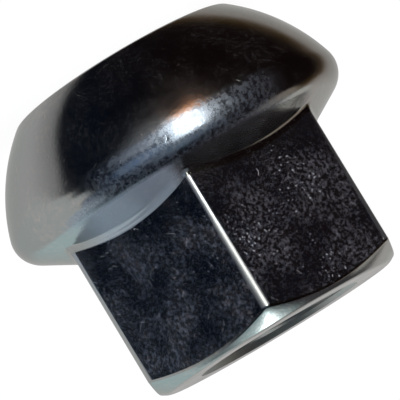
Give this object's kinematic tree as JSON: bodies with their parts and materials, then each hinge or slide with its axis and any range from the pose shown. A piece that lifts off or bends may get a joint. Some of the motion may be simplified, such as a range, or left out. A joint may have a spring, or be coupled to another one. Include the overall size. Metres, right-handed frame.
{
  "type": "lug nut",
  "caption": "Ball seat lug nut: a chamfered hex with an open end on a wide collar with a spherical seat, and a threaded through bore.",
  "frame": {"origin": "centre of the seat end's flat face, on the bore's axis; the nut stands on this face", "axes": "+Z runs along the bore from the seat end to the open end of the hex; two opposite corners of the hex lie on +Y and -Y, and two opposite flats face +X and -X"},
  "size_m": [0.026, 0.026, 0.0213],
  "materials": {
    "zinc_plated_steel": "bright blue-white zinc plating over forged steel, glossy on the collar and finely pitted on the hex flats"
  },
  "bodies": {
    "root": {"lug_nut": "zinc_plated_steel"}
  },
  "joints": []
}
